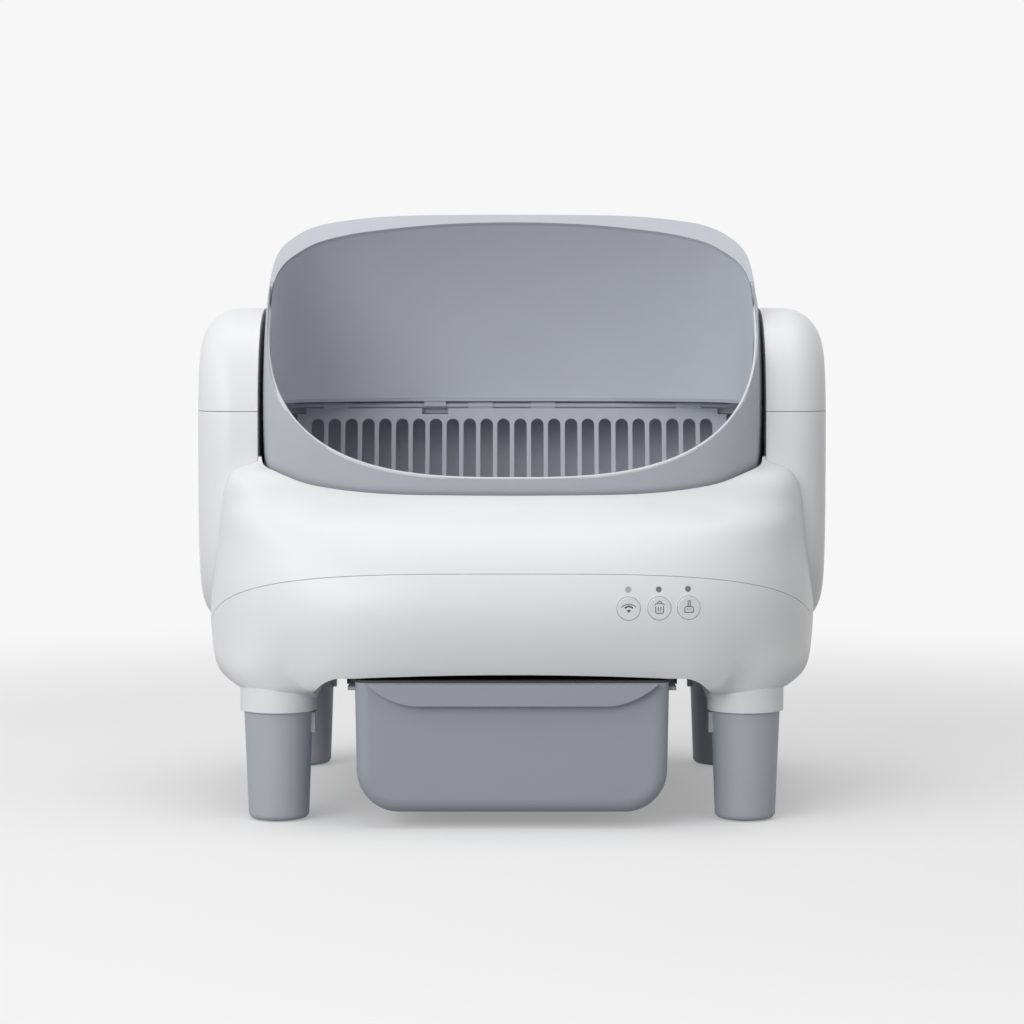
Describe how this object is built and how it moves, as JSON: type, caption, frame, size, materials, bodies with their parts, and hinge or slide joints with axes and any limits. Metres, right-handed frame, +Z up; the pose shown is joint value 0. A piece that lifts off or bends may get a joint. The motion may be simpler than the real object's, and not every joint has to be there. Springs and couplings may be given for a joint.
{
  "type": "self-cleaning litter box",
  "caption": "Self-cleaning litter box: an open-mouthed barrel drum with a sifting grate turns between two side pods on a legged base and drops waste into a pull-out bin.",
  "frame": {"origin": "on the floor under the middle of the base", "axes": "+X to the right seen from the front, +Y to the back, +Z up"},
  "size_m": [0.565, 0.4886, 0.5368],
  "materials": {
    "shell_white": "satin white moulding",
    "drum_grey": "fine matt grey moulding",
    "leg_grey": "fine matt grey moulding",
    "dark_plastic": "dark moulding",
    "rubber": "matt",
    "steel": "plain",
    "bearing_plastic": "natural moulding",
    "board_green": "lacquered board",
    "indicator_lens": "clear grey",
    "load_cell_metal": "plain"
  },
  "bodies": {
    "base": {"base_tray": "shell_white", "base_upper_shell": "shell_white", "drum_cradle": "dark_plastic", "base_screws": "steel", "chute_gasket": "rubber", "front_left_leg": "leg_grey", "front_right_leg": "leg_grey", "rear_left_leg": "leg_grey", "rear_right_leg": "leg_grey", "foot_pads": "rubber", "load_cells": "load_cell_metal", "left_pod_upper": "shell_white", "left_pod_lower": "shell_white", "right_pod_upper": "shell_white", "right_pod_lower": "shell_white", "left_hub_bush": "bearing_plastic", "right_hub_bush": "bearing_plastic", "motor_bracket": "steel", "drive_gearbox": "dark_plastic", "drive_motor": "steel", "sensor_board": "board_green", "main_board": "board_green", "button_board": "board_green", "indicator_lenses": "indicator_lens", "power_inlet": "dark_plastic", "left_bin_rail": "dark_plastic", "right_bin_rail": "dark_plastic"},
    "drum": {"drum_bowl": "drum_grey", "drum_hood": "drum_grey", "back_panel": "drum_grey", "grate_bar": "drum_grey", "grate_rod": "drum_grey", "rod_clip": "drum_grey", "left_trunnion": "bearing_plastic", "right_trunnion": "bearing_plastic", "trunnion_screws": "steel", "ring_gear": "bearing_plastic", "position_magnet": "steel"},
    "grate": {"sifting_grate": "drum_grey"},
    "pinion": {"drive_pinion": "bearing_plastic"},
    "bin": {"waste_bin": "leg_grey", "bag_frame": "dark_plastic"},
    "left_key": {"left_button": "shell_white"},
    "middle_key": {"middle_button": "shell_white"},
    "right_key": {"right_button": "shell_white"}
  },
  "joints": [
    {"name": "drum_turn", "type": "hinge", "parent": "base", "child": "drum", "pos_m": [0, 0, 0.358], "axis": [-1, 0, 0], "range_deg": [-15, 190]},
    {"name": "pinion_spin", "type": "hinge", "parent": "base", "child": "pinion", "pos_m": [0.243, 0, 0.28285], "axis": [-1, 0, 0], "range_deg": [-770, 70]},
    {"name": "grate_swing", "type": "hinge", "parent": "drum", "child": "grate", "pos_m": [0, 0.1035, 0.3565], "axis": [-1, 0, 0], "range_deg": [0, 60]},
    {"name": "bin_slide", "type": "slide", "parent": "base", "child": "bin", "axis": [0, -1, 0], "range_m": [0, 0.38]},
    {"name": "left_press", "type": "slide", "parent": "base", "child": "left_key", "axis": [-0.0798, 0.9968, 0], "range_m": [0, 0.0012], "stiffness_N_per_m": 900},
    {"name": "middle_press", "type": "slide", "parent": "base", "child": "middle_key", "axis": [-0.1435, 0.9897, 0], "range_m": [0, 0.0012], "stiffness_N_per_m": 900},
    {"name": "right_press", "type": "slide", "parent": "base", "child": "right_key", "axis": [-0.2302, 0.9731, 0], "range_m": [0, 0.0012], "stiffness_N_per_m": 900}
  ],
  "couplings": [
    {"joint": "pinion_spin", "follows": "drum_turn", "ratio": -4}
  ]
}
